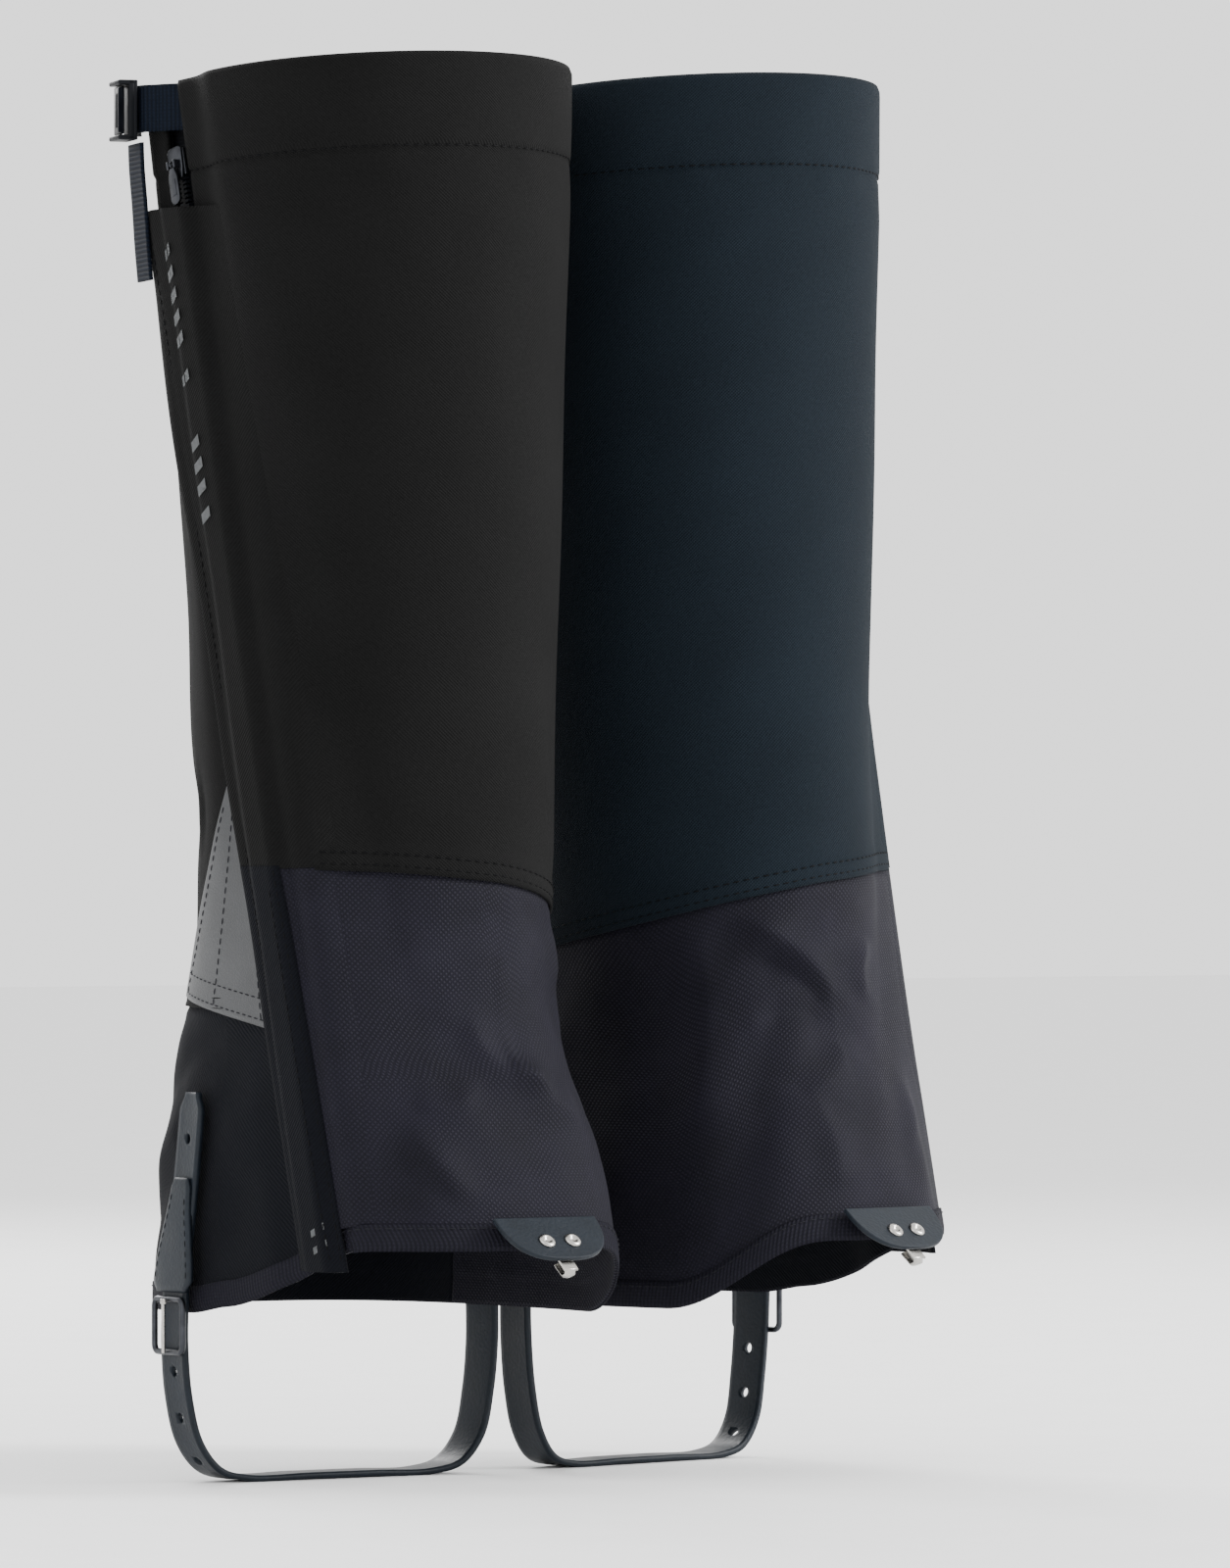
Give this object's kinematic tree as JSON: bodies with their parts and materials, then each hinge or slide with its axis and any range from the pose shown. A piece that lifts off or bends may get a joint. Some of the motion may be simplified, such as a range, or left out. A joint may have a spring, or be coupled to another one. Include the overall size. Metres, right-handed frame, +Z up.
{
  "type": "pair of gaiters",
  "caption": "Knee-high hiking gaiters with zip and storm flap, buckled calf strap, reflective patch, lace hook tab and instep strap with pin buckle, in the shape they take when worn.",
  "frame": {"origin": "point on the ground midway between the two legs", "axes": "+Z up along the legs, toes towards -Y, wearer's left towards +X"},
  "size_m": [0.3034, 0.2136, 0.5153],
  "materials": {
    "softshell": "matt woven softshell",
    "ripstop": "fine ripstop with a slight sheen",
    "lining": "dull knit and coil tape",
    "webbing": "woven nylon",
    "touch": "napped touch fastener",
    "reflective": "grey reflective film cloth",
    "rubber": "smooth coated rubber",
    "plastic": "moulded satin",
    "steel": "brushed"
  },
  "bodies": {
    "right_gaiter": {"right_upper_shell": "softshell", "right_lower_front_panel": "ripstop", "right_heel_panel": "softshell", "right_top_hem": "lining", "right_bottom_hem": "webbing", "right_ankle_elastic": "lining", "right_reflective_triangle": "reflective", "right_zip_tape_front": "lining", "right_zip_tape_rear": "lining", "right_zip_box": "plastic", "right_hook_strip": "touch", "right_top_strap": "webbing", "right_top_strap_tail": "webbing", "right_top_buckle_frame": "plastic", "right_side_patch": "rubber", "right_instep_strap": "rubber", "right_inner_anchor": "rubber", "right_anchor_rivet": "steel"},
    "right_slider": {"right_zip_slider": "steel"},
    "right_pull": {"right_zip_pull": "steel"},
    "right_storm_flap": {"right_flap": "softshell", "right_flap_lower_panel": "ripstop", "right_loop_strip": "touch"},
    "right_cam_lever": {"right_top_buckle_lever": "steel"},
    "right_pin_buckle": {"right_buckle_frame": "steel"},
    "right_prong": {"right_buckle_prong": "steel"},
    "right_tab": {"right_lace_tab": "rubber", "right_lace_hook": "steel"},
    "left_gaiter": {"left_upper_shell": "softshell", "left_lower_front_panel": "ripstop", "left_heel_panel": "softshell", "left_top_hem": "lining", "left_bottom_hem": "webbing", "left_ankle_elastic": "lining", "left_reflective_triangle": "reflective", "left_zip_tape_front": "lining", "left_zip_tape_rear": "lining", "left_zip_box": "plastic", "left_hook_strip": "touch", "left_top_strap": "webbing", "left_top_strap_tail": "webbing", "left_top_buckle_frame": "plastic", "left_side_patch": "rubber", "left_instep_strap": "rubber", "left_inner_anchor": "rubber", "left_anchor_rivet": "steel"},
    "left_slider": {"left_zip_slider": "steel"},
    "left_pull": {"left_zip_pull": "steel"},
    "left_storm_flap": {"left_flap": "softshell", "left_flap_lower_panel": "ripstop", "left_loop_strip": "touch"},
    "left_cam_lever": {"left_top_buckle_lever": "steel"},
    "left_pin_buckle": {"left_buckle_frame": "steel"},
    "left_prong": {"left_buckle_prong": "steel"},
    "left_tab": {"left_lace_tab": "rubber", "left_lace_hook": "steel"}
  },
  "joints": [
    {"name": "pair_spread", "type": "slide", "parent": "right_gaiter", "child": "left_gaiter", "axis": [1, 0, 0], "range_m": [0, 0.25]},
    {"name": "right_zip_slide", "type": "slide", "parent": "right_gaiter", "child": "right_slider", "axis": [0.0036, -0.2125, -0.9772], "range_m": [0, 0.37]},
    {"name": "right_pull_flip", "type": "hinge", "parent": "right_slider", "child": "right_pull", "pos_m": [-0.14215, 0.03124, 0.47759], "axis": [0.0722, 0.9747, -0.2116], "range_deg": [0, 150]},
    {"name": "right_flap_open", "type": "hinge", "parent": "right_gaiter", "child": "right_storm_flap", "pos_m": [-0.13966, -0.06668, 0.09079], "axis": [-0.0036, 0.2125, 0.9772], "range_deg": [0, 120]},
    {"name": "right_lever_open", "type": "hinge", "parent": "right_gaiter", "child": "right_cam_lever", "pos_m": [-0.14504, 0.05958, 0.4984], "axis": [0, 0, -1], "range_deg": [0, 90]},
    {"name": "right_buckle_swing", "type": "hinge", "parent": "right_gaiter", "child": "right_pin_buckle", "pos_m": [-0.14091, 0.0345, 0.06598], "axis": [0.1731, 0.9849, 0], "range_deg": [0, 40]},
    {"name": "right_prong_swing", "type": "hinge", "parent": "right_pin_buckle", "child": "right_prong", "pos_m": [-0.14091, 0.0345, 0.06598], "axis": [0.1731, 0.9849, 0], "range_deg": [0, 50]},
    {"name": "right_tab_lift", "type": "hinge", "parent": "right_gaiter", "child": "right_tab", "pos_m": [-0.08147, -0.10684, 0.0979], "axis": [-0.9976, 0.0698, 0], "range_deg": [0, 70]},
    {"name": "left_zip_slide", "type": "slide", "parent": "left_gaiter", "child": "left_slider", "axis": [-0.0036, -0.2125, -0.9772], "range_m": [0, 0.37]},
    {"name": "left_pull_flip", "type": "hinge", "parent": "left_slider", "child": "left_pull", "pos_m": [0.14215, 0.03124, 0.47759], "axis": [0.0722, -0.9747, 0.2116], "range_deg": [0, 150]},
    {"name": "left_flap_open", "type": "hinge", "parent": "left_gaiter", "child": "left_storm_flap", "pos_m": [0.13966, -0.06668, 0.09079], "axis": [-0.0036, -0.2125, -0.9772], "range_deg": [0, 120]},
    {"name": "left_lever_open", "type": "hinge", "parent": "left_gaiter", "child": "left_cam_lever", "pos_m": [0.14504, 0.05958, 0.4984], "axis": [0, 0, 1], "range_deg": [0, 90]},
    {"name": "left_buckle_swing", "type": "hinge", "parent": "left_gaiter", "child": "left_pin_buckle", "pos_m": [0.14091, 0.0345, 0.06598], "axis": [0.1731, -0.9849, 0], "range_deg": [0, 40]},
    {"name": "left_prong_swing", "type": "hinge", "parent": "left_pin_buckle", "child": "left_prong", "pos_m": [0.14091, 0.0345, 0.06598], "axis": [0.1731, -0.9849, 0], "range_deg": [0, 50]},
    {"name": "left_tab_lift", "type": "hinge", "parent": "left_gaiter", "child": "left_tab", "pos_m": [0.08147, -0.10684, 0.0979], "axis": [-0.9976, -0.0698, 0], "range_deg": [0, 70]}
  ]
}
